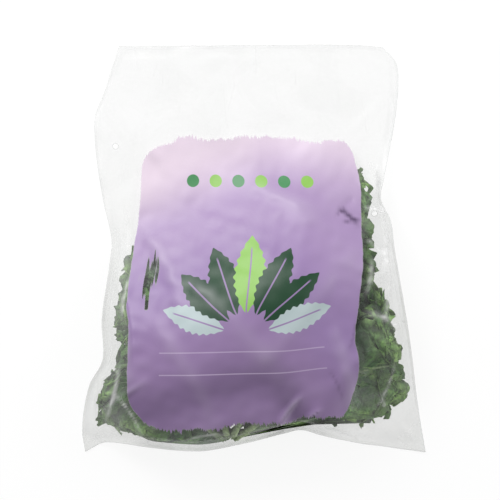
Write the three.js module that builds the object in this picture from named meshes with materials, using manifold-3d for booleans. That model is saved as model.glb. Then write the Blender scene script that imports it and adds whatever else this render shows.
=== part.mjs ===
// A bag of curly kale: a bunch of whole leaves, stems towards the bottom edge, packed in layers in a clear
// plastic film bag that lies on its back. Millimetres. X runs across the bag, Y from its bottom weld to its
// top weld, Z up from the surface it lies on.

import * as THREE from 'three';
import { mergeVertices } from 'three/addons/utils/BufferGeometryUtils.js';
import Module from 'manifold-3d';

const wasm = await Module();
wasm.setup();

// Outline of the lying bag, seen from above.
const LEFT_EDGE = [ // [y, x]
  [-175, -145], [-155, -147.5], [-115, -139], [-94, -128], [-60, -129], [-10, -123],
  [8, -122], [48, -131], [109, -137], [140, -127], [174, -116],
];
const RIGHT_EDGE = [ // [y, x]
  [-175, 147.5], [-79, 132], [0, 119], [24, 116], [43, 108], [60, 111], [109, 121], [140, 124],
  [160, 122], [174, 110],
];
const BOTTOM_EDGE = [ // [x, y]
  [-146, -175], [-126, -166], [-50, -171], [-25, -168], [26, -156], [40, -153], [56, -157.5],
  [98, -168], [148, -175],
];
const TOP_EDGE = [[-117, 174], [0, 175], [90, 175], [112, 173]]; // [x, y]

// Film and filling.
const FILM_WALL = 0.7;
const FLAT_GAP = 0.5; // between the two walls where the bag is empty
const FILL_HEIGHT = 68;
const WELD_WIDTH_SHARE = 0.028; // of the bag's width, on each side
const WELD_LENGTH_SHARE = 0.022; // of the bag's length, at both ends
const SIDE_LIFT = 0.42; // height of the side folds, as a share of the filling
const FLAT_SPOT_DEPTH = 1.2; // the underside is flat where it would lift less than this
const FILL_TOP_LEFT = 0.50; // where the leaves end, as a share of the bag's length
const FILL_TOP_RIGHT = 0.72;
const TOP_SLOPE = { before: 0.32, after: 0.16 }; // of the length, on both sides of where the leaves end
const BOTTOM_SLOPE = 0.26; // of the length, over which the filling rises from the bottom weld
const BULGE = { squareness: 2.6, fullness: 0.55 }; // of the filling's cross-section
const LIFT_SQUARENESS = { side: 5, bottom: 4 }; // how far out the underside stays down
const EAR_LEFT = { at: [-146, -175], empty: 8, full: 62 };
const EAR_RIGHT = { at: [148, -175], empty: 30, full: 105 };
const VENTS = [[-119, 88], [103, 30]];
const VENT = { radius: 2.5, depth: 10, sides: 12 };
const FILM_COLUMNS = { count: 18, crowding: 0.75 }; // between the two side welds
const FILM_ROWS = { count: 21, crowding: 0.45 }; // between the two end welds
const STEEPEST_WALL = 2.5; // a sloping wall is this many times as tall, at most, to stay as thick
const SLOPE_STEP = 2; // distance over which a slope is read
const PLAN_PASSES = 12; // enough for the edges' shares to settle

// Leaves. Each layer is a fan of leaves round its own root point.
const BLADE = 0.9;
const LAYER_MARGIN = 0.055; // share of the cavity kept free under the lowest and over the highest layer
const LAYER_USE = 0.86; // share of a layer's height that its leaves may use
const LEAF_ROWS = 24;
const TIP_CROWDING = 1.25; // over 1, the rows are closer together towards the tip
const STALK_SHARE = 0.13; // bare stalk, as a share of the leaf's length
const STALK = { halfWidth: 3, depth: 5, ribWidth: 4 };
const STALK_TAPER = { width: 0.5, depth: 0.75 }; // shares lost by the tip
const OUTLINE = { widest: 0.74, roundness: 0.52 }; // blade: sin(pi q ** widest) ** roundness
const LOBES = 5; // rounded lobes down each side of the blade
const LOBE = { depth: 0.14, shift: 3, noise: 0.07, scallop: 0.05 }; // shares of the half width, and radians
const MARGIN_LEAN = 0.16; // of the half width, forwards near the stalk and back near the tip
const MARGIN_ZIGZAG = 0.2; // of the distance between two rows
const FULL_BLADE = 12; // half width from which the margin ruffles fully
const RUFFLE_NOISE = 0.2;
const RIB_USE = 0.7; // most of a layer's height that the midrib takes
const ROOT_GAP = 15; // from a layer's root point to the cut ends of its stalks
const FAN_EDGES = [-79, 70]; // degrees from straight up, where each fan ends at its left and right
const BEND_FROM = 35; // degrees; the directions past this bend outwards with the distance from the root
const BEND_AFTER = 50; // distance from the root where the bending starts
const BEND_SHARE = 0.003; // per millimetre after it, of the degrees past BEND_FROM
const LEAF_REACH = { side: 0.925, bottom: 0.035, height: 9 }; // how near the film's edges leaves come
const FAN_GAP = 1.6; // kept free on each side of the line between two leaves of a layer
const FAN_STEP = 4; // distance of the first search for the filling's edge
const FAN_PASSES = 14; // halvings after it
const FARTHEST = 400;
const CROWDED_FROM = 0.7; // share of the room beside a leaf, past which the blade is pressed together
const SWAY = 9; // most that a tip bends to one side
const SWAY_USE = 0.3; // most of the room beside the leaf that this takes
const PRESSED_FROM = 0.8; // share of the way to the filling's edge, past which a leaf is pressed together
const LAYERS = [
  { root: [-26, -156], headings: [-60, -24, 12, 47], reach: [84, 142, 206, 150], width: 46 },
  { root: [-19, -158], headings: [-54, -18, 17, 50], reach: [84, 182, 230, 150], width: 48 },
  { root: [-27, -156], headings: [-60, -26, 8, 44], reach: [78, 142, 222, 160], width: 46 },
  { root: [-21, -158], headings: [-52, -15, 20, 52], reach: [76, 186, 238, 146], width: 48 },
];

const FILM_LOOK = { color: 0xf2f3f1, roughness: 0.15, metalness: 0, transparent: true, opacity: 0.3 };
const LEAF_LOOKS = [0x3f6a35, 0x4b7a3c, 0x557f48, 0x3a6238].map(
  (color) => ({ color, roughness: 0.6, metalness: 0 }));

const clamp = THREE.MathUtils.clamp;
const fade = THREE.MathUtils.smoothstep;

// A smooth curve through the points [a, b], read at a.
function smoothThrough(points, a) {
  const last = points.length - 1;
  const inside = clamp(a, points[0][0], points[last][0]);
  let k = 0;
  while (k < last - 1 && inside > points[k + 1][0]) k += 1;
  const slope = (i) => {
    const low = points[Math.max(i - 1, 0)];
    const high = points[Math.min(i + 1, last)];
    return (high[1] - low[1]) / (high[0] - low[0]);
  };
  const [a0, b0] = points[k];
  const [a1, b1] = points[k + 1];
  const span = a1 - a0;
  const q = (inside - a0) / span;
  return b0 * (1 + 2 * q) * (1 - q) ** 2 + slope(k) * span * q * (1 - q) ** 2
    + b1 * q * q * (3 - 2 * q) + slope(k + 1) * span * q * q * (q - 1);
}

// Where a point lies in the outline: 0 to 1 from left to right, and from bottom to top.
function shareOf(x, y) {
  const left = smoothThrough(LEFT_EDGE, y);
  const right = smoothThrough(RIGHT_EDGE, y);
  const bottom = smoothThrough(BOTTOM_EDGE, x);
  const top = smoothThrough(TOP_EDGE, x);
  return [(x - left) / (right - left), (y - bottom) / (top - bottom)];
}

// The point of the outline's plane at those shares.
function planPoint(across, along) {
  let x = 0;
  let y = 0;
  for (let pass = 0; pass < PLAN_PASSES; pass += 1) {
    const bottom = smoothThrough(BOTTOM_EDGE, x);
    y = bottom + along * (smoothThrough(TOP_EDGE, x) - bottom);
    const left = smoothThrough(LEFT_EDGE, y);
    x = left + across * (smoothThrough(RIGHT_EDGE, y) - left);
  }
  return [x, y];
}

function earFade(ear, x, y) {
  return fade(Math.hypot(x - ear.at[0], y - ear.at[1]), ear.empty, ear.full);
}

// Underside and height of the space inside the film at a point of the plan: a stuffed pillow over the
// lower part of the bag, its sides drawn up off the surface, falling to flat film over the leaves' tips.
function cavityAt(x, y) {
  const [across, along] = shareOf(x, y);
  const side = Math.min(Math.abs(2 * across - 1), 1);
  const fromBottom = clamp(1 - along / BOTTOM_SLOPE, 0, 1);
  const fillTop = FILL_TOP_LEFT + (FILL_TOP_RIGHT - FILL_TOP_LEFT) * clamp(across, 0, 1);
  const topFade = 1 - fade(along, fillTop - TOP_SLOPE.before, fillTop + TOP_SLOPE.after);
  const level = FILL_HEIGHT * topFade * earFade(EAR_LEFT, x, y) * earFade(EAR_RIGHT, x, y);
  const inwards = (1 - side ** BULGE.squareness) * (1 - fromBottom ** BULGE.squareness);
  const bulge = inwards ** BULGE.fullness;
  const resting = (1 - side ** LIFT_SQUARENESS.side) * (1 - fromBottom ** LIFT_SQUARENESS.bottom);
  const lift = SIDE_LIFT * level * (1 - resting);
  const floor = Math.max(0, lift - FLAT_SPOT_DEPTH) + FILM_WALL;
  return { floor, height: FLAT_GAP + level * bulge };
}

// A closed sheet over a grid of (rows + 1) by (columns + 1) points. faces(i, j) gives the upper and the
// lower point. Both faces are split into triangles alike.
function sheetSolid(rows, columns, faces) {
  const vertices = [];
  const wide = columns + 1;
  for (const side of [0, 1]) {
    for (let i = 0; i <= rows; i += 1) {
      for (let j = 0; j <= columns; j += 1) vertices.push(...faces(i, j)[side]);
    }
  }
  const lower = (rows + 1) * wide;
  const index = [];
  for (let i = 0; i < rows; i += 1) {
    for (let j = 0; j < columns; j += 1) {
      const a = i * wide + j;
      const [b, c, d] = [a + 1, a + wide, a + wide + 1];
      index.push(a, b, d, a, d, c);
      index.push(lower + a, lower + d, lower + b, lower + a, lower + c, lower + d);
    }
  }
  const rim = [];
  for (let j = 0; j < columns; j += 1) rim.push(j);
  for (let i = 0; i < rows; i += 1) rim.push(i * wide + columns);
  for (let j = columns; j > 0; j -= 1) rim.push(rows * wide + j);
  for (let i = rows; i > 0; i -= 1) rim.push(i * wide);
  rim.forEach((a, k) => {
    const b = rim[(k + 1) % rim.length];
    index.push(a, lower + a, lower + b, a, lower + b, b);
  });
  const geometry = new THREE.BufferGeometry();
  geometry.setAttribute('position', new THREE.Float32BufferAttribute(vertices, 3));
  geometry.setIndex(index);
  return geometry;
}

function toManifold(geometry) {
  const bare = geometry.clone();
  bare.deleteAttribute('normal');
  bare.deleteAttribute('uv');
  const merged = mergeVertices(bare, 1e-4);
  return new wasm.Manifold(new wasm.Mesh({
    numProp: 3,
    vertProperties: new Float32Array(merged.attributes.position.array),
    triVerts: new Uint32Array(merged.index.array),
  }));
}

function toGeometry(manifold) {
  const mesh = manifold.getMesh();
  const geometry = new THREE.BufferGeometry();
  geometry.setAttribute('position', new THREE.BufferAttribute(mesh.vertProperties, 3));
  geometry.setIndex(new THREE.BufferAttribute(mesh.triVerts, 1));
  return geometry;
}

// Stations from weld to weld, closer together near both ends. The outside of the film has one more at
// each end.
function stations({ count, crowding }, weld, outside) {
  const between = Array.from({ length: count + 1 }, (_, k) => {
    const even = k / count;
    const crowded = 0.5 - 0.5 * Math.cos(Math.PI * even);
    return weld + (1 - 2 * weld) * (even + (crowded - even) * crowding);
  });
  return outside ? [0, ...between, 1] : between;
}

// How much taller than its thickness a wall is, where the face of that height function slopes.
function steepness(heightAt, x, y) {
  const slope = Math.hypot(heightAt(x + SLOPE_STEP, y) - heightAt(x - SLOPE_STEP, y),
    heightAt(x, y + SLOPE_STEP) - heightAt(x, y - SLOPE_STEP)) / (2 * SLOPE_STEP);
  return Math.min(Math.hypot(1, slope), STEEPEST_WALL);
}

const undersideAt = (x, y) => cavityAt(x, y).floor;
const ceilingAt = (x, y) => cavityAt(x, y).floor + cavityAt(x, y).height;

// The outside or the inside face of both walls, as one closed body.
function pillow(outside) {
  const across = stations(FILM_COLUMNS, WELD_WIDTH_SHARE, outside);
  const along = stations(FILM_ROWS, WELD_LENGTH_SHARE, outside);
  return sheetSolid(along.length - 1, across.length - 1, (i, j) => {
    const [x, y] = planPoint(across[j], along[i]);
    const [low, high] = [undersideAt(x, y), ceilingAt(x, y)];
    if (!outside) return [[x, y, high], [x, y, low]];
    return [
      [x, y, high + FILM_WALL * steepness(ceilingAt, x, y)],
      [x, y, Math.max(0, low - FILM_WALL * steepness(undersideAt, x, y))],
    ];
  });
}

function ventCutter([x, y]) {
  const { floor, height } = cavityAt(x, y);
  const cutter = new THREE.CylinderGeometry(VENT.radius, VENT.radius, VENT.depth, VENT.sides);
  cutter.rotateX(Math.PI / 2);
  cutter.translate(x, y, floor + height / 2 + VENT.depth / 2);
  return toManifold(cutter);
}

function filmBag() {
  let film = toManifold(pillow(true)).subtract(toManifold(pillow(false)));
  for (const vent of VENTS) film = film.subtract(ventCutter(vent));
  return toGeometry(film);
}

// Keeps q within the limit on both sides, bending towards it past the knee.
function softLimit(q, knee, limit) {
  const size = Math.abs(q);
  if (size <= knee) return q;
  const room = limit - knee;
  const past = (size - knee) / room;
  return Math.sign(q) * (knee + room * past / (1 + past));
}

// The point of a layer's fan at a direction, in radians from straight up, and a distance from its root.
function fanPoint(root, direction, distance) {
  const past = Math.max(0, Math.abs(direction) - THREE.MathUtils.degToRad(BEND_FROM));
  const bent = direction + Math.sign(direction) * past * BEND_SHARE * Math.max(0, distance - BEND_AFTER);
  return [root[0] + Math.sin(bent) * distance, root[1] + Math.cos(bent) * distance];
}

// Distance at which a direction of a fan comes to the edge of the filling.
function fanEnd(root, direction) {
  const isInside = (distance) => {
    const [x, y] = fanPoint(root, direction, distance);
    const [across, along] = shareOf(x, y);
    return Math.abs(2 * across - 1) < LEAF_REACH.side && along > LEAF_REACH.bottom
      && cavityAt(x, y).height > LEAF_REACH.height;
  };
  let near = 2 * ROOT_GAP;
  let far = near + FAN_STEP;
  while (isInside(far) && far < FARTHEST) {
    near = far;
    far += FAN_STEP;
  }
  for (let pass = 0; pass < FAN_PASSES; pass += 1) {
    const half = (near + far) / 2;
    if (isInside(half)) near = half;
    else far = half;
  }
  return near;
}

// Seeded noise from -1 to 1.
function scatter(seed, k) {
  const value = Math.sin(seed * 127.1 + k * 311.7) * 43758.5453;
  return 2 * (value - Math.floor(value)) - 1;
}

// The blade's stations from one margin to the other, close together at the midrib and at both margins.
const ACROSS = [-1, -0.85, -0.58, -0.09, 0.09, 0.58, 0.85, 1];

// How far each station follows the ruffles: the margin swings one way and the strip inside it the other,
// so that the edge curls, while the inner blade only buckles a little.
const RUFFLE = [1, -0.9, 0.45, 0, 0, 0.45, -0.9, 1];

// One leaf: a keeled stalk and midrib that carry a broad lobed blade with a ruffled margin.
// Its neighbours in the fan, at the given angles to its left and right, bound how far it spreads.
function leafSolid({ root, heading, spread, reach, width, layer, layers, seed }) {
  const turn = THREE.MathUtils.degToRad(heading);
  const slab = (1 - 2 * LAYER_MARGIN) / layers;
  const middle = LAYER_MARGIN + slab * (layer + 0.5);
  return sheetSolid(LEAF_ROWS, ACROSS.length - 1, (i, j) => {
    const s = 1 - (1 - i / LEAF_ROWS) ** TIP_CROWDING;
    const t = ACROSS[j];
    const side = Math.sign(t);
    const edge = Math.abs(t);
    const q = clamp((s - STALK_SHARE) / (1 - STALK_SHARE), 0, 1);
    const wave = i % 2 ? 1 : -1;
    const rowStep = reach * TIP_CROWDING * (1 - i / LEAF_ROWS) ** (TIP_CROWDING - 1) / LEAF_ROWS;
    const lobe = LOBE.depth * Math.cos(LOBES * 2 * Math.PI * q + LOBE.shift * scatter(seed, side))
      + LOBE.noise * scatter(seed, i + 40 * side) + LOBE.scallop * wave;
    const blade = width * Math.sin(Math.PI * q ** OUTLINE.widest) ** OUTLINE.roundness;
    const full = Math.min(1, blade / FULL_BLADE);
    const half = STALK.halfWidth * (1 - STALK_TAPER.width * s) + blade * (1 + lobe * edge ** 2);
    const lean = MARGIN_LEAN * blade * Math.cos(Math.PI * q) + MARGIN_ZIGZAG * rowStep * wave * full;
    const upFromRoot = ROOT_GAP + s * reach;
    const limits = spread.map((angle) => (upFromRoot + Math.min(lean, 0)) * Math.tan(angle) - FAN_GAP);
    const sway = clamp(SWAY * scatter(seed, 1) * s * s, -SWAY_USE * limits[0], SWAY_USE * limits[1]);
    const room = limits[side > 0 ? 1 : 0] - side * sway;
    const along = upFromRoot + lean * edge;
    const out = sway + t * softLimit(half, CROWDED_FROM * room, room);
    const direction = turn + Math.atan2(out, along);
    const end = fanEnd(root, direction);
    const [x, y] = fanPoint(root, direction, softLimit(Math.hypot(along, out), PRESSED_FROM * end, end));
    const { floor, height } = cavityAt(x, y);
    const gap = slab * height * LAYER_USE;
    const rib = Math.min(STALK.depth * (1 - STALK_TAPER.depth * s), RIB_USE * gap);
    const thick = BLADE + rib * Math.exp(-(((out - sway) / STALK.ribWidth) ** 2));
    const uneven = 1 - RUFFLE_NOISE + RUFFLE_NOISE * scatter(seed, i + 40 * j);
    const swing = RUFFLE[j] * wave * uneven * full;
    const z = floor + middle * height + swing * Math.max(0, gap / 2 - thick / 2);
    return [[x, y, z + thick / 2], [x, y, z - thick / 2]];
  });
}

// Angles from each leaf of a fan to the lines that part it from its neighbours, or from the fan's edges.
function spreadsOf(headings) {
  const between = headings.slice(1).map((next, k) => (headings[k] + next) / 2);
  const borders = [FAN_EDGES[0], ...between, FAN_EDGES[1]];
  return headings.map((heading, k) => [borders[k], borders[k + 1]].map(
    (at) => THREE.MathUtils.degToRad(Math.abs(at - heading))));
}

const bag = new THREE.Group();

function addPiece(name, geometry, look) {
  const mesh = new THREE.Mesh(geometry, new THREE.MeshStandardMaterial(look));
  mesh.name = name;
  bag.add(mesh);
}

addPiece('bag_film', filmBag(), FILM_LOOK);

let count = 0;
LAYERS.forEach(({ root, headings, reach, width }, layer) => {
  const spreads = spreadsOf(headings);
  headings.forEach((heading, k) => {
    count += 1;
    const geometry = leafSolid({
      root, heading, spread: spreads[k], reach: reach[k], width, layer, layers: LAYERS.length, seed: count,
    });
    addPiece(`kale_leaf_${String(count).padStart(2, '0')}`, geometry, LEAF_LOOKS[count % LEAF_LOOKS.length]);
  });
});

export default bag;
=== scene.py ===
"""A bag of curly kale that lies on its back: clear film with a lilac printed front, and the leaves in it.

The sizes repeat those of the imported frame. Lengths in the tables are millimetres and meshes are metres. X runs
across the bag, Y from its bottom weld to its top weld, Z up from the surface that it lies on.
"""

import math

import bpy
import numpy as np
from bpy.props import FloatProperty, FloatVectorProperty, IntProperty, PointerProperty
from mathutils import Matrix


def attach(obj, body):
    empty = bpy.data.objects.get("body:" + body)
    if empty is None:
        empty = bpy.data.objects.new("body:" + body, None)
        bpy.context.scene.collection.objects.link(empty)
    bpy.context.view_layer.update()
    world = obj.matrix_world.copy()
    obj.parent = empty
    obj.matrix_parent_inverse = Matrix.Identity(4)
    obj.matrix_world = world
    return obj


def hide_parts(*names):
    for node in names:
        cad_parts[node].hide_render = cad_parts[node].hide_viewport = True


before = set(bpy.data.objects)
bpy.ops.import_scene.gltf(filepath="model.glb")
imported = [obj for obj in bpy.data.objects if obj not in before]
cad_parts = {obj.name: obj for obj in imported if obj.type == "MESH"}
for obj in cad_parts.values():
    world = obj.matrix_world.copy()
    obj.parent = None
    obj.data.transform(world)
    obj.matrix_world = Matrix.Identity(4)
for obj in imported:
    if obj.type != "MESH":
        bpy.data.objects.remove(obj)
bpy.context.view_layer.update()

bl_info = {
    "name": "Bagged Kale",
    "version": (1, 0, 0),
    "blender": (4, 5, 0),
    "location": "View3D > Sidebar > Kale",
    "description": "Builds a clear film bag of curly kale leaves with a printed front",
    "category": "Add Mesh",
}

MM = 0.001

# Outline of the lying bag, seen from above.
LEFT_EDGE = (  # (y, x)
    (-175, -145), (-155, -147.5), (-115, -139), (-94, -128), (-60, -129), (-10, -123),
    (8, -122), (48, -131), (109, -137), (140, -127), (174, -116),
)
RIGHT_EDGE = (  # (y, x)
    (-175, 147.5), (-79, 132), (0, 119), (24, 116), (43, 108), (60, 111), (109, 121), (140, 124),
    (160, 122), (174, 110),
)
BOTTOM_EDGE = (  # (x, y)
    (-146, -175), (-126, -166), (-50, -171), (-25, -168), (26, -156), (40, -153), (56, -157.5),
    (98, -168), (148, -175),
)
TOP_EDGE = ((-117, 174), (0, 175), (90, 175), (112, 173))  # (x, y)

# Filling of the bag, as in the frame.
FLAT_GAP = 0.5
FILL_HEIGHT = 68
SIDE_LIFT = 0.42
FLAT_SPOT_DEPTH = 1.2
FILM_WALL = 0.7
FILL_TOP_LEFT = 0.50
FILL_TOP_RIGHT = 0.72
EAR_LEFT = {"at": (-146, -175), "empty": 8, "full": 62}
EAR_RIGHT = {"at": (148, -175), "empty": 30, "full": 105}

# Leaves. The fans and roots are those of the frame; the lobes and frills are finer than its solids.
LAYER_MARGIN = 0.055
LAYER_USE = 0.86
STALK_SHARE = 0.05
STALK_HALF_WIDTH = 3
ROOT_GAP = 8
SWAY = 9
PRESSED_FROM = 0.88
EDGE_UNEVENNESS = 13  # most by which leaves fall short of the filling's edge
FAN_EDGES = (-100, 77)
BEND_FROM = 35
BEND_AFTER = 75
BEND_SHARE = 0.007
LEAF_REACH = {"side": 0.965, "bottom": 0.018, "height": 2.6, "top_left": 0.52, "top_right": 0.755}
LAYERS = (
    {"root": (-26, -162), "headings": (-60, -24, 14, 48), "reach": (108, 172, 246, 200), "width": 52},
    {"root": (-19, -163), "headings": (-54, -18, 22, 52), "reach": (110, 206, 260, 208), "width": 56},
    {"root": (-27, -162), "headings": (-60, -26, 18, 47), "reach": (106, 174, 256, 212), "width": 52},
    {"root": (-21, -163), "headings": (-52, -13, 26, 54), "reach": (112, 208, 264, 206), "width": 58},
)
LOBE_SPACING = 26
LOBE_CELLS = {"out": 12, "round": 66}
LOBE_OPENING = 64  # degrees on each side of a lobe's own vein
LOBE_OVERHANG = 0.12  # share of a leaf's sector that its lobes may pass
STALK_CELLS = {"along": 48, "round": 10}
FRILL_ROOM = {"share": 0.22, "most": 3.2}  # frills rise by this much of the space, at least
INSIDE = {"across": (0.018, 0.982), "along": (0.016, 0.95)}  # shares of the bag between which leaves stay
FILM_CLEARANCE = 1.2  # from leaves to film

VENTS = ((-119, 88), (103, 30))
VENT_RADIUS = 2.5

# Fine film grid.
FILM_COLUMNS = 136
FILM_ROWS = 152
FILM_WELD = 0.010  # share of the width and length that is welded flat at each edge
FILM_OPEN = 0.034  # share at which the walls are as far apart as the filling holds them
BACK_SHIFT = 10.0  # added to the back wall's first UV, so that no ink falls on it

# Printed panel on the film's front, seen from above.
PRINT_LEFT = (  # (y, x)
    (-150, -92), (-139, -97.5), (-128, -103.5), (-109, -105.4), (-62, -104.6), (-47, -107), (-4, -102.8),
    (31, -98.6), (75, -96), (95, -95),
)
PRINT_RIGHT = (  # (y, x)
    (-150, 79), (-130, 80), (-108, 85.8), (-91, 86.7), (-75, 83.3), (-27, 89), (-8, 90.6), (22, 90),
    (56, 90), (77, 85.8), (95, 84),
)
PRINT_BOTTOM = ((-110, -150), (-55, -149), (-12, -147), (26, -145.6), (58, -141), (73, -141), (95, -139))  # (x, y)
PRINT_TOP = ((-110, 93), (-66, 96), (-9, 95), (28, 93.7), (77, 92), (95, 91))  # (x, y)

# Photograph's frame.
VIEW_WIDTH = 0.425
VIEW_CENTRE = (-0.0034, -0.00106)
VIEW_LEVEL = 0.018  # height over the floor at which the view is as wide as that
LENS = 120.0
SENSOR = 36.0


def srgb(red, green, blue):
    """Linear colour of an 8-bit screen colour: c / 12.92 below 0.04045, else ((c + 0.055) / 1.055) ** 2.4."""
    channels = []
    for value in (red, green, blue):
        c = value / 255
        channels.append(c / 12.92 if c <= 0.04045 else ((c + 0.055) / 1.055) ** 2.4)
    return tuple(channels)


def colour_property(name, description, default):
    return FloatVectorProperty(
        name=name, description=description, default=default, subtype="COLOR", size=3, min=0, max=1)


class KaleFilmSettings(bpy.types.PropertyGroup):
    wrinkle: FloatProperty(
        name="Wrinkle height", description="Height of the folds in the film", default=2.4 * MM,
        min=0, soft_max=0.004, subtype="DISTANCE", unit="LENGTH")
    haze: FloatProperty(
        name="Haze", description="How milky the front wall of the film is", default=0.065,
        min=0, max=1, subtype="FACTOR")
    back_haze: FloatProperty(
        name="Back haze", description="How milky the back wall of the film is", default=0.16,
        min=0, max=1, subtype="FACTOR")
    film_colour: colour_property("Film", "Colour of the milky film", (0.80, 0.81, 0.80))
    film_dim: colour_property("Film, shaded", "Colour of the milky film low in the bag", (0.76, 0.77, 0.75))
    # Ink colours up the panel: darker towards the bottom, partly a printed gradient and partly painted shade.
    ink_top: colour_property("Ink, top", "Panel colour at its top edge", srgb(243, 225, 241))
    ink_upper: colour_property("Ink, upper", "Panel colour at three quarters of its height", srgb(175, 149, 193))
    ink_middle: colour_property("Ink, middle", "Panel colour at half its height", srgb(157, 130, 180))
    ink_lower: colour_property("Ink, lower", "Panel colour at a quarter of its height", srgb(157, 130, 176))
    ink_bottom: colour_property("Ink, bottom", "Panel colour at its bottom edge", srgb(130, 107, 147))
    # Painted shade: the ink darkens to this colour deep in sharp folds.
    ink_fold_shade: colour_property("Ink, pinched", "Panel colour deep in a sharp fold", srgb(84, 66, 98))
    ink_cover: FloatProperty(
        name="Ink cover", description="How opaque the ink is", default=0.985,
        min=0, max=1, subtype="FACTOR")
    motif_dark: colour_property("Dark leaves", "Printed dark green", srgb(12, 66, 36))
    motif_pale: colour_property("Pale leaves", "Printed pale blue-grey", srgb(190, 206, 208))
    motif_lime: colour_property("Lime leaves", "Printed lime green", srgb(146, 200, 92))


class KaleLeafSettings(bpy.types.PropertyGroup):
    blade: FloatProperty(
        name="Blade", description="Thickness of a leaf's blade", default=0.45 * MM,
        min=0.0001, soft_max=0.002, subtype="DISTANCE", unit="LENGTH")
    fold: FloatProperty(
        name="Fold", description="Length of one broad wave of a lobe", default=25 * MM,
        min=0.005, soft_max=0.05, subtype="DISTANCE", unit="LENGTH")
    frill: FloatProperty(
        name="Frill", description="Length of one wave of a lobe's margin", default=12 * MM,
        min=0.003, soft_max=0.03, subtype="DISTANCE", unit="LENGTH")
    crumple: FloatProperty(
        name="Crumple", description="Length of one wave of a lobe's crumples", default=17 * MM,
        min=0.003, soft_max=0.03, subtype="DISTANCE", unit="LENGTH")
    curl: FloatProperty(
        name="Curl", description="Length of one small curl on a frill", default=6.5 * MM,
        min=0.002, soft_max=0.012, subtype="DISTANCE", unit="LENGTH")
    seed: IntProperty(name="Seed", description="Varies the frills", default=7, min=0)
    # Painted shade and light: a leaf takes the deep colour in its low folds and the fresh one on its crests.
    deep: colour_property("Deep", "Colour of the blade's folds", srgb(18, 46, 24))
    fresh: colour_property("Fresh", "Colour of the blade", srgb(72, 126, 56))
    cool: colour_property("Cool", "Colour of the clumps that lie in shade", srgb(42, 80, 46))
    shaded: colour_property("Shaded", "Colour of the leaves away from the bag's sides", srgb(28, 62, 34))
    margin: colour_property("Margin", "Colour of the frilled margin", srgb(164, 202, 112))
    rib: colour_property("Rib", "Colour of stalk, midrib and veins", srgb(158, 180, 128))


class KaleStageSettings(bpy.types.PropertyGroup):
    floor: colour_property("Floor", "Colour of the floor", (0.16, 0.16, 0.16))
    glow: FloatProperty(
        name="Glow", description="Light that the floor gives off itself", default=0.86, min=0, soft_max=2)
    sky: FloatProperty(
        name="Sky", description="Strength of the even light all round", default=0.42, min=0, soft_max=3)
    key: FloatProperty(
        name="Key light", description="Power of the large light at the upper left", default=15,
        min=0, soft_max=100, unit="POWER")
    back: FloatProperty(
        name="Rim light", description="Power of the small light at the upper right", default=2.2,
        min=0, soft_max=100, unit="POWER")


def smooth_step(value, low, high):
    """0 below low, 1 above high, and q * q * (3 - 2 q) between, with q the share of the way."""
    q = np.clip((value - low) / (high - low), 0, 1)
    return q * q * (3 - 2 * q)


def smooth_through(points, at):
    """A smooth curve through the points (a, b), read at a: cubic Hermite pieces with central slopes."""
    a, b = np.array(points, float).T
    inside = np.clip(at, a[0], a[-1])
    k = np.clip(np.searchsorted(a, inside, side="left") - 1, 0, len(a) - 2)
    low = np.maximum(np.arange(len(a)) - 1, 0)
    high = np.minimum(np.arange(len(a)) + 1, len(a) - 1)
    slope = (b[high] - b[low]) / (a[high] - a[low])
    span = a[k + 1] - a[k]
    q = (inside - a[k]) / span
    return (b[k] * (1 + 2 * q) * (1 - q) ** 2 + slope[k] * span * q * (1 - q) ** 2
            + b[k + 1] * q * q * (3 - 2 * q) + slope[k + 1] * span * q * q * (q - 1))


def share_of(x, y):
    """Where a point lies in the bag's outline: 0 to 1 from left to right, and from bottom to top."""
    left = smooth_through(LEFT_EDGE, y)
    right = smooth_through(RIGHT_EDGE, y)
    bottom = smooth_through(BOTTOM_EDGE, x)
    top = smooth_through(TOP_EDGE, x)
    return (x - left) / (right - left), (y - bottom) / (top - bottom)


def plan_point(across, along):
    """The point at those shares, found by going back and forth between the two pairs of edges."""
    x = np.zeros(np.broadcast(across, along).shape)
    for _ in range(12):
        bottom = smooth_through(BOTTOM_EDGE, x)
        y = bottom + along * (smooth_through(TOP_EDGE, x) - bottom)
        left = smooth_through(LEFT_EDGE, y)
        x = left + across * (smooth_through(RIGHT_EDGE, y) - left)
    return x, y


def ear_fade(ear, x, y):
    """0 in the flat corner of the bag, 1 where it is full."""
    return smooth_step(np.hypot(x - ear["at"][0], y - ear["at"][1]), ear["empty"], ear["full"])


def cavity_at(x, y):
    """Underside and height of the space in the bag at a point of the plan.

    The height is the filling's level times ((1 - side ** 2.6) (1 - bottom ** 2.6)) ** 0.55, where side and
    bottom go from 0 in the middle to 1 at the edge. The sides are lifted off the floor by a share of it.
    """
    across, along = share_of(x, y)
    side = np.minimum(np.abs(2 * across - 1), 1)
    from_bottom = np.clip(1 - along / 0.26, 0, 1)
    fill_top = FILL_TOP_LEFT + (FILL_TOP_RIGHT - FILL_TOP_LEFT) * np.clip(across, 0, 1)
    top_fade = 1 - smooth_step(along, fill_top - 0.32, fill_top + 0.16)
    level = FILL_HEIGHT * top_fade * ear_fade(EAR_LEFT, x, y) * ear_fade(EAR_RIGHT, x, y)
    bulge = ((1 - side ** 2.6) * (1 - from_bottom ** 2.6)) ** 0.55
    lift = SIDE_LIFT * level * (1 - (1 - side ** 5) * (1 - from_bottom ** 4))
    return np.maximum(0, lift - FLAT_SPOT_DEPTH) + FILM_WALL, FLAT_GAP + level * bulge


def open_share(across, along):
    """0 where the film's walls are welded together at an edge, 1 where they are free."""
    to_edge = np.minimum.reduce([across, 1 - across, along, 1 - along])
    return smooth_step(to_edge, FILM_WELD, FILM_OPEN)


def soft_limit(value, knee, limit):
    """Keeps the value within the limit on both sides: past the knee, room * p / (1 + p) of the room left."""
    size = np.abs(value)
    room = limit - knee
    past = np.maximum(size - knee, 0) / room
    return np.sign(value) * np.where(size <= knee, size, knee + room * past / (1 + past))


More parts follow.
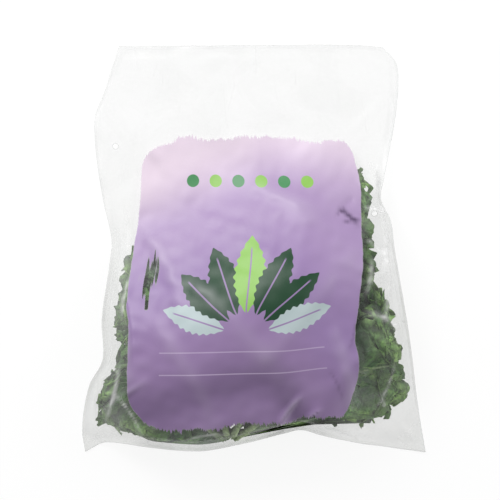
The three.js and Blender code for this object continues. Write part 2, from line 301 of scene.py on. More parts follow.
def fan_point(root, direction, distance):
    """The point of a layer's fan at a direction from straight up and a distance from its root."""
    past = np.maximum(0, np.abs(direction) - math.radians(BEND_FROM))
    bent = direction + np.sign(direction) * past * BEND_SHARE * np.maximum(0, distance - BEND_AFTER)
    return root[0] + np.sin(bent) * distance, root[1] + np.cos(bent) * distance


def fan_end(root, direction):
    """Distance at which a direction of a fan comes to the edge of the filling, by stepping and halving."""
    def is_inside(distance):
        x, y = fan_point(root, direction, distance)
        across, along = share_of(x, y)
        top = LEAF_REACH["top_left"] + (LEAF_REACH["top_right"] - LEAF_REACH["top_left"]) * across
        return ((np.abs(2 * across - 1) < LEAF_REACH["side"]) & (along > LEAF_REACH["bottom"])
                & (along < top) & (cavity_at(x, y)[1] > LEAF_REACH["height"]))

    near = np.full(direction.shape, 2.0 * ROOT_GAP)
    going = np.ones(direction.shape, bool)
    for _ in range(92):
        going &= is_inside(near + 4)
        near = np.where(going, near + 4, near)
    far = near + 4
    for _ in range(14):
        half = (near + far) / 2
        inside = is_inside(half)
        near = np.where(inside, half, near)
        far = np.where(inside, far, half)
    return near


def window_of(values, width):
    """For each value, the values round it: as many as the odd width, with the end ones repeated."""
    padded = np.pad(values, width // 2, mode="edge")
    return np.lib.stride_tricks.sliding_window_view(padded, width)


def drift(rng, share, knots):
    """A smooth random walk from -1 to 1 along the shares 0 to 1, eased between evenly spaced values."""
    values = rng.uniform(-1, 1, knots + 2)
    place = np.clip(share, 0, 1) * knots
    k = np.floor(place).astype(int)
    q = smooth_step(place - k, 0, 1)
    return values[k] * (1 - q) + values[np.minimum(k + 1, knots + 1)] * q


def ripples(rng, x, y, length, waves):
    """Smooth noise of about -1 to 1 over the plan: the mean of plane waves in seeded directions."""
    total = np.zeros_like(x)
    for _ in range(waves):
        angle, phase = rng.uniform(0, 2 * math.pi, 2)
        pace = 2 * math.pi / (length * rng.uniform(0.7, 1.5))
        total += np.sin((x * math.cos(angle) + y * math.sin(angle)) * pace + phase)
    return total / math.sqrt(waves)


def mesh_object(name, points, quads, uv=None, values=None):
    """A smooth-shaded mesh object of quads, in metres, with a UV map and point attributes."""
    mesh = bpy.data.meshes.new(name)
    mesh.vertices.add(len(points))
    mesh.vertices.foreach_set("co", (points * MM).astype(np.float32).ravel())
    mesh.loops.add(quads.size)
    mesh.loops.foreach_set("vertex_index", quads.astype(np.int32).ravel())
    mesh.polygons.add(len(quads))
    mesh.polygons.foreach_set("loop_start", np.arange(0, quads.size, 4, dtype=np.int32))
    mesh.polygons.foreach_set("loop_total", np.full(len(quads), 4, np.int32))
    mesh.polygons.foreach_set("use_smooth", np.ones(len(quads), bool))
    if uv is not None:
        layer = mesh.uv_layers.new(name="surface")
        layer.data.foreach_set("uv", uv.reshape(-1, 2).astype(np.float32).ravel())
    for key, value in (values or {}).items():
        attribute = mesh.attributes.new(key, "FLOAT", "POINT")
        attribute.data.foreach_set("value", value.astype(np.float32))
    mesh.update(calc_edges=True)
    mesh.validate()
    made = bpy.data.objects.new(name, mesh)
    bpy.context.scene.collection.objects.link(made)
    return made


def grid_quads(ids):
    """The quads of a grid of vertex numbers, turning left from row to row."""
    return np.stack([ids[:-1, :-1], ids[:-1, 1:], ids[1:, 1:], ids[1:, :-1]], axis=-1).reshape(-1, 4)


def two_faced(upper, lower):
    """Points and quads of a closed sheet between two grids of points, joined round the rim."""
    rows, columns = upper.shape[:2]
    top = np.arange(rows * columns).reshape(rows, columns)
    bottom = top + rows * columns
    rim = np.concatenate([top[0, :-1], top[:-1, -1], top[-1, :0:-1], top[:0:-1, 0]])
    after = np.roll(rim, -1)
    below = rows * columns
    band = np.stack([rim, rim + below, after + below, after], axis=-1)
    quads = np.concatenate([grid_quads(top), grid_quads(bottom)[:, ::-1], band])
    return np.concatenate([upper.reshape(-1, 3), lower.reshape(-1, 3)]), quads


class NodeSheet:
    """Short forms for laying out shader nodes in one tree."""

    def __init__(self, tree):
        self.tree = tree

    def node(self, kind, **settings):
        made = self.tree.nodes.new(kind)
        for key, value in settings.items():
            setattr(made, key, value)
        return made

    def feed(self, socket, value):
        if isinstance(value, bpy.types.NodeSocket):
            self.tree.links.new(value, socket)
        else:
            socket.default_value = value

    def math(self, operation, a, b=0.0, c=0.0, clamp=False):
        made = self.node("ShaderNodeMath", operation=operation, use_clamp=clamp)
        for socket, value in zip(made.inputs, (a, b, c)):
            self.feed(socket, value)
        return made.outputs[0]

    def between(self, value, low, high, to_low=0.0, to_high=1.0):
        """Maps low to high onto to_low to to_high, eased and clamped."""
        made = self.node("ShaderNodeMapRange", interpolation_type="SMOOTHSTEP")
        for socket, given in zip(made.inputs, (value, low, high, to_low, to_high)):
            self.feed(socket, given)
        return made.outputs[0]

    def mix(self, share, a, b, blend="MIX"):
        """Mixes two colours."""
        made = self.node("ShaderNodeMix", data_type="RGBA", blend_type=blend)
        self.feed(made.inputs["Factor"], share)
        self.feed(made.inputs[6], a)
        self.feed(made.inputs[7], b)
        return made.outputs[2]

    def blend(self, share, a, b):
        """Mixes two numbers."""
        made = self.node("ShaderNodeMix", data_type="FLOAT")
        for socket, value in zip((made.inputs[0], made.inputs[2], made.inputs[3]), (share, a, b)):
            self.feed(socket, value)
        return made.outputs[0]

    def noise(self, vector, scale, detail=2.0, roughness=0.5, distortion=0.0):
        made = self.node("ShaderNodeTexNoise")
        self.feed(made.inputs["Vector"], vector)
        made.inputs["Scale"].default_value = scale
        made.inputs["Detail"].default_value = detail
        made.inputs["Roughness"].default_value = roughness
        made.inputs["Distortion"].default_value = distortion
        return made.outputs["Fac"]

    def stretched(self, vector, scale, turn=0.0, shift=(0.0, 0.0, 0.0)):
        made = self.node("ShaderNodeMapping")
        self.feed(made.inputs["Vector"], vector)
        made.inputs["Location"].default_value = shift
        made.inputs["Rotation"].default_value = (0, 0, turn)
        made.inputs["Scale"].default_value = scale
        return made.outputs[0]

    def parts(self, vector):
        made = self.node("ShaderNodeSeparateXYZ")
        self.feed(made.inputs[0], vector)
        return made.outputs[0], made.outputs[1], made.outputs[2]

    def joined(self, x, y, z=0.0):
        made = self.node("ShaderNodeCombineXYZ")
        for socket, value in zip(made.inputs, (x, y, z)):
            self.feed(socket, value)
        return made.outputs[0]

    def ramp(self, value, stops):
        """Colours along 0 to 1; stops are (place, colour), in order."""
        made = self.node("ShaderNodeValToRGB")
        made.color_ramp.interpolation = "EASE"
        elements = made.color_ramp.elements
        for place, colour in stops[1:-1]:
            elements.new(place).color = (*colour, 1)
        for element, (place, colour) in ((elements[0], stops[0]), (elements[-1], stops[-1])):
            element.position = place
            element.color = (*colour, 1)
        self.feed(made.inputs[0], value)
        return made.outputs[0]

    def bump(self, height, distance, strength=1.0):
        made = self.node("ShaderNodeBump")
        made.inputs["Strength"].default_value = strength
        made.inputs["Distance"].default_value = distance
        self.feed(made.inputs["Height"], height)
        return made.outputs[0]

    def group(self, tree, **inputs):
        made = self.node("ShaderNodeGroup", node_tree=tree)
        for key, value in inputs.items():
            self.feed(made.inputs[key], value)
        return made.outputs


def new_material(name):
    """A material with an empty sheet, its Principled shader already on the output."""
    material = bpy.data.materials.new(name)
    material.use_nodes = True
    tree = material.node_tree
    tree.nodes.clear()
    sheet = NodeSheet(tree)
    shader = sheet.node("ShaderNodeBsdfPrincipled")
    output = sheet.node("ShaderNodeOutputMaterial")
    tree.links.new(shader.outputs[0], output.inputs["Surface"])
    return material, sheet, shader


def new_group(name, inputs, outputs):
    """A shader node group; inputs are (name, socket type, default) and outputs are (name, socket type)."""
    tree = bpy.data.node_groups.new(name, "ShaderNodeTree")
    for key, kind, default in inputs:
        socket = tree.interface.new_socket(key, in_out="INPUT", socket_type=kind)
        if default is not None:
            socket.default_value = default
    for key, kind in outputs:
        tree.interface.new_socket(key, in_out="OUTPUT", socket_type=kind)
    sheet = NodeSheet(tree)
    return tree, sheet, sheet.node("NodeGroupInput").outputs, sheet.node("NodeGroupOutput").inputs


def leaf_motif_group():
    """A printed leaf that points away from the origin: half its width is Width * sin(pi * t) ** 0.8, where t is
    the share of its length, and a thin midrib is left out of it."""
    tree, sheet, given, result = new_group(
        "printed_leaf",
        [("Place", "NodeSocketVector", None), ("Angle", "NodeSocketFloat", 0.0),
         ("Start", "NodeSocketFloat", 0.02), ("Length", "NodeSocketFloat", 0.04),
         ("Width", "NodeSocketFloat", 0.01)],
        [("Mask", "NodeSocketFloat")],
    )
    x, y, _ = sheet.parts(given["Place"])
    cosine = sheet.math("COSINE", given["Angle"])
    sine = sheet.math("SINE", given["Angle"])
    forward = sheet.math("ADD", sheet.math("MULTIPLY", x, sine), sheet.math("MULTIPLY", y, cosine))
    aside = sheet.math("SUBTRACT", sheet.math("MULTIPLY", x, cosine), sheet.math("MULTIPLY", y, sine))
    t = sheet.math("DIVIDE", sheet.math("SUBTRACT", forward, given["Start"]), given["Length"], clamp=True)
    wave = sheet.math("SINE", sheet.math("MULTIPLY", t, math.pi))
    half = sheet.math("MULTIPLY", sheet.math("POWER", wave, 0.8), given["Width"])
    frill = sheet.math("MULTIPLY", sheet.math("SINE", sheet.math("MULTIPLY", t, 58.0)), 0.08)
    edge = sheet.math("MULTIPLY", half, sheet.math("ADD", 1.0, frill))
    inside = sheet.math("SUBTRACT", edge, sheet.math("ABSOLUTE", aside))
    blade = sheet.between(inside, 0.0, 0.0006)
    rib = sheet.between(sheet.math("ABSOLUTE", aside), 0.0004, 0.0009)
    short = sheet.between(t, 0.80, 0.86)
    sheet.feed(result["Mask"], sheet.math("MULTIPLY", blade, sheet.math("MAXIMUM", rib, short)))
    return tree


def build_print(sheet, settings):
    """The printed panel on the film's front. Returns its colour and how much it covers.

    The UV map's place in the panel is turned into metres from its centre. The panel's edge is a rounded
    rectangle, ragged at the top and bottom like a dry brush, with a few bare streaks near its left side.
    """
    panel_width, panel_height, corner = 0.192, 0.240, 0.016
    uv = sheet.node("ShaderNodeUVMap", uv_map="surface").outputs[0]
    across, along, _ = sheet.parts(uv)
    x = sheet.math("MULTIPLY", sheet.math("SUBTRACT", across, 0.5), panel_width)
    y = sheet.math("MULTIPLY", sheet.math("SUBTRACT", along, 0.5), panel_height)
    place = sheet.joined(x, y)

    bristles = sheet.noise(sheet.stretched(place, (1.0, 0.03, 1.0)), 620.0, 3.0, 0.7)
    strokes = sheet.noise(sheet.stretched(place, (1.0, 0.08, 1.0)), 26.0, 2.0, 0.6)
    ragged = sheet.math("ADD", sheet.math("MULTIPLY", sheet.math("SUBTRACT", bristles, 0.5), 0.013),
                        sheet.math("MULTIPLY", sheet.math("SUBTRACT", strokes, 0.5), 0.017))
    wobble = sheet.math("MULTIPLY", sheet.math("SUBTRACT", sheet.noise(place, 90.0, 3.0, 0.6), 0.5), 0.0022)
    inner_x = sheet.math("SUBTRACT", sheet.math("ABSOLUTE", x), panel_width / 2 - corner)
    low_corner = sheet.math("MULTIPLY", sheet.between(across, 0.13, 0.18, 0.0055, 0.0), sheet.between(y, 0.0, 0.02))
    inner_y = sheet.math("SUBTRACT", sheet.math("ADD", sheet.math("ABSOLUTE", y), ragged),
                         panel_height / 2 - corner)
    inner_y = sheet.math("ADD", inner_y, low_corner)
    round_x = sheet.math("MAXIMUM", inner_x, 0.0)
    round_y = sheet.math("MAXIMUM", inner_y, 0.0)
    outside = sheet.math("SQRT", sheet.math("ADD", sheet.math("MULTIPLY", round_x, round_x),
                                            sheet.math("MULTIPLY", round_y, round_y)))
    margin = sheet.math("SUBTRACT", corner, sheet.math("ADD", outside, wobble))
    inked = sheet.between(margin, -0.0004, 0.0006)

    streak_x = sheet.math("DIVIDE", sheet.math("ADD", x, 0.0795), 0.0085)
    streak_y = sheet.math("DIVIDE", sheet.math("SUBTRACT", y, 0.002), 0.026)
    near_streaks = sheet.math("SUBTRACT", 1.0, sheet.math("ADD", sheet.math("MULTIPLY", streak_x, streak_x),
                                                          sheet.math("MULTIPLY", streak_y, streak_y)))
    streaks = sheet.noise(sheet.stretched(place, (1.0, 0.07, 1.0), shift=(0.31, 0.0, 0.0)), 260.0, 2.0, 0.6)
    bare = sheet.between(sheet.math("ADD", streaks, sheet.math("MULTIPLY", near_streaks, 0.20)), 0.60, 0.66)
    bare = sheet.math("MULTIPLY", bare, sheet.between(near_streaks, 0.0, 0.12))
    cover = sheet.math("MULTIPLY", inked, sheet.math("SUBTRACT", 1.0, bare))

    # The ink runs darker towards the bottom, partly as a printed gradient and partly as painted shade. Random noise
    # varies its tone, and painted light makes it paler at the sides, the lower right and the upper left.
    tones = sheet.noise(place, 16.0, 3.0, 0.5)
    uneven = sheet.math("ADD", along, sheet.math("MULTIPLY", sheet.math("SUBTRACT", tones, 0.5), 0.07))
    from_middle = sheet.math("ABSOLUTE", sheet.math("SUBTRACT", across, 0.56))
    uneven = sheet.math("ADD", uneven, sheet.math("MULTIPLY", sheet.math("SUBTRACT", from_middle, 0.25), 0.20))
    low_right = sheet.math("MULTIPLY", sheet.between(across, 0.62, 0.90), sheet.math("SUBTRACT", 1.0, along))
    uneven = sheet.math("ADD", uneven, sheet.math("MULTIPLY", low_right, 0.24))
    paler_left = sheet.math("MULTIPLY", sheet.math("SUBTRACT", 0.5, across), sheet.between(along, 0.5, 0.9, 0.0, 0.18))
    uneven = sheet.math("ADD", uneven, paler_left)
    colour = sheet.ramp(uneven, (
        (0.0, settings.ink_lower), (0.11, settings.ink_bottom), (0.27, settings.ink_lower), (0.50, settings.ink_middle),
        (0.74, settings.ink_upper), (1.0, settings.ink_top),
    ))
    motif = leaf_motif_group()
    fan_place = sheet.stretched(place, (1.0, 1.0, 1.0), shift=(-0.004, 0.046, 0.0))
    count = 7
    for k in range(count):
        lean = math.radians(-72 + 144 * k / (count - 1))
        size = 1.0 - 0.16 * abs(k - (count - 1) / 2) / ((count - 1) / 2)
        ink = (settings.motif_pale, settings.motif_dark, settings.motif_dark)[k % 3] if k != 3 else (
            settings.motif_lime)
        mask = sheet.group(motif, Place=fan_place, Angle=lean, Start=0.019, Length=0.064 * size,
                           Width=0.0128 * size)["Mask"]
        colour = sheet.mix(mask, colour, (*ink, 1))

    dot_step = 0.020
    dot_x = sheet.math("SUBTRACT", sheet.math("FRACT", sheet.math("DIVIDE", x, dot_step)), 0.5)
    dot_x = sheet.math("MULTIPLY", dot_x, dot_step)
    dot_y = sheet.math("SUBTRACT", y, 0.083)
    from_dot = sheet.math("SQRT", sheet.math("ADD", sheet.math("MULTIPLY", dot_x, dot_x),
                                             sheet.math("MULTIPLY", dot_y, dot_y)))
    dots = sheet.math("MULTIPLY", sheet.between(from_dot, 0.0052, 0.0056, 1.0, 0.0),
                      sheet.between(sheet.math("ABSOLUTE", x), 0.0600, 0.0602, 1.0, 0.0))
    every_other = sheet.math("ROUND", sheet.math("FRACT", sheet.math("DIVIDE", x, 2 * dot_step)))
    dot_ink = sheet.mix(every_other, (*settings.motif_lime, 1), (*srgb(74, 146, 92), 1))
    colour = sheet.mix(dots, colour, dot_ink)

    for level in (-0.058, -0.076):
        from_line = sheet.math("ABSOLUTE", sheet.math("SUBTRACT", y, level))
        line = sheet.math("MULTIPLY", sheet.between(from_line, 0.0003, 0.0006, 0.55, 0.0),
                          sheet.between(sheet.math("ABSOLUTE", x), 0.0690, 0.0694, 1.0, 0.0))
        colour = sheet.mix(line, colour, (*srgb(214, 196, 226), 1))
    return colour, cover


def film_material(settings):
    """Milky clear film with lilac ink on its front, with painted highlights on the film and painted shade and
    highlights on the ink.
    """
    material, sheet, shader = new_material("printed_film")
    place = sheet.node("ShaderNodeTexCoord").outputs["Object"]
    ink, cover = build_print(sheet, settings)

    across, _, _ = sheet.parts(sheet.node("ShaderNodeUVMap", uv_map="surface").outputs[0])
    is_back = sheet.math("GREATER_THAN", across, BACK_SHIFT / 2)
    clouds = sheet.noise(place, 24.0, 4.0, 0.55, 0.6)
    # Painted highlights: streaks of noise that whiten the film a little.
    streaks = sheet.noise(sheet.stretched(place, (1.0, 0.16, 1.0), 0.30), 110.0, 3.0, 0.6, 0.8)
    gleams = sheet.between(streaks, 0.62, 0.76)
    slack = sheet.node("ShaderNodeAttribute", attribute_name="slack").outputs["Fac"]
    gathered = sheet.node("ShaderNodeAttribute", attribute_name="gathered").outputs["Fac"]
    gleam = sheet.node("ShaderNodeAttribute", attribute_name="gleam").outputs["Fac"]
    dim = sheet.node("ShaderNodeAttribute", attribute_name="dim").outputs["Fac"]
    facing = sheet.node("ShaderNodeLayerWeight")
    facing.inputs["Blend"].default_value = 0.22

    haze = sheet.math("MULTIPLY", settings.haze, sheet.between(clouds, 0.35, 0.72, 0.45, 2.2))
    haze = sheet.math("ADD", haze, sheet.math("MULTIPLY", slack, 0.07))
    haze = sheet.math("ADD", haze, sheet.math("MULTIPLY", gathered, 0.30))
    haze = sheet.math("ADD", haze, sheet.math("MULTIPLY", facing.outputs["Facing"], 0.11))
    haze = sheet.blend(is_back, haze, sheet.math("ADD", sheet.math("MULTIPLY", dim, 0.10), settings.back_haze))
    # Painted highlights: the gleams raise the film's haze, and further down they whiten its colour.
    shine = sheet.math("ADD", sheet.math("MULTIPLY", gleams, 0.10), sheet.math("MULTIPLY", gleam, 0.85))
    # Painted highlights: thin bright crinkle lines on the raised film.
    turned = sheet.noise(sheet.stretched(place, (1.0, 0.5, 1.0), 0.5), 62.0, 2.0, 0.5, 1.2)
    lines = sheet.between(sheet.math("ABSOLUTE", sheet.math("SUBTRACT", turned, 0.5)), 0.0, 0.024, 1.0, 0.0)
    lines = sheet.math("MULTIPLY", lines, sheet.between(clouds, 0.44, 0.62))
    lines = sheet.math("MULTIPLY", lines, sheet.between(slack, 0.0, 0.25))
    shine = sheet.math("ADD", shine, sheet.math("MULTIPLY", lines, 0.30))
    shine = sheet.math("MULTIPLY", shine, sheet.math("SUBTRACT", 1.0, is_back))
    haze = sheet.math("ADD", haze, shine, clamp=True)
    alpha = sheet.blend(cover, haze, settings.ink_cover)
    for x, y in VENTS:
        flat = sheet.node("ShaderNodeVectorMath", operation="MULTIPLY")
        sheet.feed(flat.inputs[0], place)
        flat.inputs[1].default_value = (1, 1, 0)
        apart = sheet.node("ShaderNodeVectorMath", operation="DISTANCE")
        sheet.feed(apart.inputs[0], flat.outputs[0])
        apart.inputs[1].default_value = (x * MM, y * MM, 0)
        from_vent = apart.outputs["Value"]
        rim = sheet.between(sheet.math("ABSOLUTE", sheet.math("SUBTRACT", from_vent, VENT_RADIUS * MM)),
                            0.0001, 0.0005, 0.45, 0.0)
        open_share = sheet.between(from_vent, (VENT_RADIUS - 0.3) * MM, VENT_RADIUS * MM)
        alpha = sheet.math("MAXIMUM", sheet.math("MULTIPLY", alpha, open_share), rim)
    sheet.feed(shader.inputs["Alpha"], alpha)
    bare = sheet.mix(dim, (*settings.film_colour, 1), (*settings.film_dim, 1))
    # Painted highlight: the bare film's colour turns white along the gleams.
    bare = sheet.mix(sheet.math("MULTIPLY", shine, 1.6, clamp=True), bare, (0.97, 0.97, 0.97, 1))
    # Painted shade: the ink darkens along the sharp pinches.
    fold_shade = sheet.node("ShaderNodeAttribute", attribute_name="fold_shade").outputs["Fac"]
    ink = sheet.mix(sheet.math("MULTIPLY", fold_shade, 0.92), ink, (*settings.ink_fold_shade, 1))
    # Painted highlight: the ink turns paler on the film's raised folds.
    ink = sheet.mix(sheet.math("MULTIPLY", slack, 0.16), ink, (0.92, 0.88, 0.95, 1))
    sheet.feed(shader.inputs["Base Color"], sheet.mix(cover, bare, ink))
    bare_roughness = sheet.between(clouds, 0.3, 0.7, 0.20, 0.36)
    sheet.feed(shader.inputs["Roughness"], sheet.blend(cover, bare_roughness, 0.40))
    crinkles = sheet.noise(sheet.stretched(place, (1.0, 0.5, 1.0), 0.7), 38.0, 3.0, 0.55, 0.8)
    fine = sheet.noise(place, 260.0, 3.0, 0.6)
    relief = sheet.math("ADD", sheet.math("MULTIPLY", crinkles, 1.0), sheet.math("MULTIPLY", fine, 0.05))
    sheet.feed(shader.inputs["Normal"], sheet.bump(relief, 0.0020, 0.10))
    shader.inputs["IOR"].default_value = 1.45
    return material


def leaf_vein_group():
    """Veins that fan out from the base of a lobe: bright thin lines at even angles that get fainter outwards.

    Across is the place from flank to flank, 0 to 1, and Out from the base to the margin.
    """
    tree, sheet, given, result = new_group(
        "leaf_veins",
        [("Across", "NodeSocketFloat", 0.5), ("Out", "NodeSocketFloat", 0.0), ("Wander", "NodeSocketFloat", 0.0)],
        [("Mask", "NodeSocketFloat")],
    )
    turned = sheet.math("MULTIPLY", sheet.math("ADD", given["Across"], given["Wander"]), 6.0)
    from_vein = sheet.math("ABSOLUTE", sheet.math("SUBTRACT", sheet.math("FRACT", sheet.math("ADD", turned, 0.5)), 0.5))
    width = sheet.between(given["Out"], 0.0, 0.9, 0.34, 0.05)
    vein = sheet.math("SUBTRACT", 1.0, sheet.math("DIVIDE", from_vein, width, clamp=True))
    faint = sheet.between(given["Out"], 0.1, 0.95, 0.85, 0.2)
    sheet.feed(result["Mask"], sheet.math("MULTIPLY", vein, faint))
    return tree


def leaf_material(settings, veins):
    """Curly leaf: painted shade in its folds and painted light on its crests, lighter margins painted lighter still
    where they rise, painted shade away from the bag's sides, and pale ribs and veins.
    """
    material, sheet, shader = new_material("kale_leaf")
    place = sheet.node("ShaderNodeTexCoord").outputs["Object"]
    uv = sheet.node("ShaderNodeUVMap", uv_map="surface").outputs[0]
    across, out, _ = sheet.parts(uv)
    fold = sheet.node("ShaderNodeAttribute", attribute_name="fold").outputs["Fac"]
    tone = sheet.node("ShaderNodeAttribute", attribute_name="tone").outputs["Fac"]
    rib = sheet.node("ShaderNodeAttribute", attribute_name="rib").outputs["Fac"]
    margin = sheet.node("ShaderNodeAttribute", attribute_name="margin").outputs["Fac"]
    wander = sheet.math("MULTIPLY", sheet.math("SUBTRACT", sheet.noise(place, 70.0, 2.0), 0.5), 0.10)
    vein = sheet.group(veins, Across=across, Out=out, Wander=wander)["Mask"]
    blotches = sheet.noise(place, 60.0, 3.0, 0.5)
    patches = sheet.noise(place, 22.0, 2.0, 0.5)
    clumps = sheet.noise(place, 34.0, 2.0, 0.5, 0.4)
    crinkles = sheet.noise(place, 130.0, 3.0, 0.6, 0.6)
    curls = sheet.noise(place, 250.0, 2.0, 0.6, 0.8)
    grain = sheet.noise(place, 900.0, 3.0, 0.6)

    # Painted shade in the low folds and painted light on the crests, read from the fold value.
    colour = sheet.mix(sheet.between(fold, 0.18, 0.82), (*settings.deep, 1), (*settings.fresh, 1))
    # The margin's own lighter green, painted lighter still where the crumples rise.
    fresher = sheet.math("MULTIPLY", margin, sheet.between(blotches, 0.30, 0.60, 0.35, 1.0))
    colour = sheet.mix(fresher, colour, (*settings.margin, 1))
    lighter = sheet.math("MULTIPLY", tone, sheet.between(patches, 0.40, 0.65, 0.0, 0.45))
    colour = sheet.mix(lighter, colour, (*settings.margin, 1))
    colour = sheet.mix(sheet.math("MULTIPLY", vein, 0.30), colour, (*settings.rib, 1))
    colour = sheet.mix(rib, colour, (*settings.rib, 1))
    colour = sheet.mix(sheet.between(clumps, 0.42, 0.60, 0.0, 0.62), colour, (*settings.cool, 1))
    # Painted shade: the leaves away from the bag's sides and bottom are darkened.
    inner = sheet.node("ShaderNodeAttribute", attribute_name="inner").outputs["Fac"]
    dark = sheet.math("MULTIPLY", inner, sheet.between(patches, 0.36, 0.60, 0.25, 0.85))
    colour = sheet.mix(dark, colour, (*settings.shaded, 1))
    shade = sheet.math("MULTIPLY", sheet.between(grain, 0.25, 0.75, 0.86, 1.10),
                       sheet.between(crinkles, 0.32, 0.66, 0.66, 1.18))
    shade = sheet.math("MULTIPLY", shade, sheet.between(curls, 0.36, 0.64, 0.74, 1.28))
    colour = sheet.mix(1.0, colour, sheet.joined(shade, shade, shade), "MULTIPLY")
    sheet.feed(shader.inputs["Base Color"], colour)
    sheet.feed(shader.inputs["Roughness"], sheet.between(blotches, 0.3, 0.7, 0.40, 0.62))
    relief = sheet.math("ADD", sheet.math("MULTIPLY", vein, 0.4), sheet.math("MULTIPLY", blotches, 0.6))
    relief = sheet.math("ADD", relief, sheet.math("MULTIPLY", crinkles, 0.7))
    relief = sheet.math("ADD", relief, sheet.math("MULTIPLY", curls, 0.35))
    relief = sheet.math("ADD", relief, sheet.math("MULTIPLY", grain, 0.05))
    sheet.feed(shader.inputs["Normal"], sheet.bump(relief, 0.0013, 0.9))
    return material


def floor_material(settings):
    """Lit white studio floor: it glows a little, as a light table does, so that hardly a shadow falls on it."""
    material, sheet, shader = new_material("studio_floor")
    place = sheet.node("ShaderNodeTexCoord").outputs["Object"]
    shade = sheet.between(sheet.noise(place, 14.0, 3.0), 0.2, 0.8, 0.99, 1.0)
    tint = sheet.mix(1.0, (*settings.floor, 1), sheet.joined(shade, shade, shade), "MULTIPLY")
    sheet.feed(shader.inputs["Base Color"], tint)
    shader.inputs["Roughness"].default_value = 0.9
    shader.inputs["Emission Color"].default_value = (1, 1, 1, 1)
    shader.inputs["Emission Strength"].default_value = settings.glow
    return material


def crease(x, y, start, end, width):
    """A ridge along a line: exp(-(distance / width) ** 2), fading towards both ends."""
    run = np.array(end, float) - np.array(start, float)
    length = math.hypot(*run)
    forward = ((x - start[0]) * run[0] + (y - start[1]) * run[1]) / length
    aside = ((x - start[0]) * run[1] - (y - start[1]) * run[0]) / length
    bow = aside + 0.05 * length * np.sin(math.pi * np.clip(forward / length, 0, 1))
    ends = smooth_step(forward, -0.1 * length, 0.3 * length) * (
        1 - smooth_step(forward, 0.6 * length, 1.1 * length))
    return np.exp(-(bow / width) ** 2) * ends


# Folds in the film's front: start, end, half width, height in wrinkle heights.
FRONT_FOLDS = (
    ((-60, -20), (30, -120), 9, 1.5), ((70, -10), (-15, -110), 8, 1.3), ((-85, -60), (-30, -150), 7, 1.2),
    ((60, -60), (85, -150), 6, 1.3), ((20, -150), (40, -120), 2.2, 1.6), ((70, 28), (84, 42), 1.8, -2.4),
    ((76, 30), (104, 18), 1.6, -1.8), ((-10, 60), (60, 20), 8, 1.0), ((-95, 20), (-60, -50), 7, 0.9),
    ((90, 60), (118, -30), 2.4, 1.4), ((-118, -20), (-104, -110), 2.6, 1.2), ((-138, -150), (-90, -110), 2.6, 1.2),
    ((140, -165), (96, -110), 2.6, 1.1), ((36, -150), (58, -132), 1.6, 1.5), ((-125, 120), (-70, 60), 5, 0.9),
    ((118, 140), (70, 90), 5, 0.9), ((-60, 160), (-40, 100), 7, 0.7), ((20, 165), (40, 100), 7, 0.7),
)


# Painted shade in sharp pinches of the printed film: start, end, half width, depth of shade.
PINCHES = (
    ((71, 34), (88, 19), 1.7, 1.0), ((74, 22), (91, 24), 1.2, 0.75), ((68, 27), (79, 36), 1.0, 0.5),
    ((56, -141), (40, -152), 1.2, 0.8), ((84, -58), (78, -84), 1.0, 0.45), ((62, -100), (74, -128), 1.1, 0.35),
)

# Painted highlights as bright streaks on the film beside the panel: start, end, half width, brightness.
GLEAMS = (
    ((103, 66), (108, 14), 2.4, 1.0), ((111, 26), (104, -34), 3.0, 0.9), ((96, 78), (118, 22), 1.8, 0.7),
    ((112, -10), (108, -60), 2.2, 0.6), ((92, -52), (122, -66), 1.8, 0.7), ((98, -8), (92, -40), 2.0, 0.6),
    ((92, 34), (118, 30), 1.8, 0.8), ((94, 8), (114, -14), 1.8, 0.6),
    ((-112, -96), (-128, -150), 1.4, 0.6), ((-118, -118), (-92, -158), 1.2, 0.5), ((-110, -60), (-104, -20), 1.2, 0.5),
    ((52, -148), (84, -160), 1.2, 0.7), ((28, -152), (4, -160), 1.0, 0.5), ((-60, -160), (-20, -154), 1.1, 0.4),
    ((118, -96), (104, -136), 1.3, 0.5), ((-112, 40), (-108, -10), 1.2, 0.35),
)


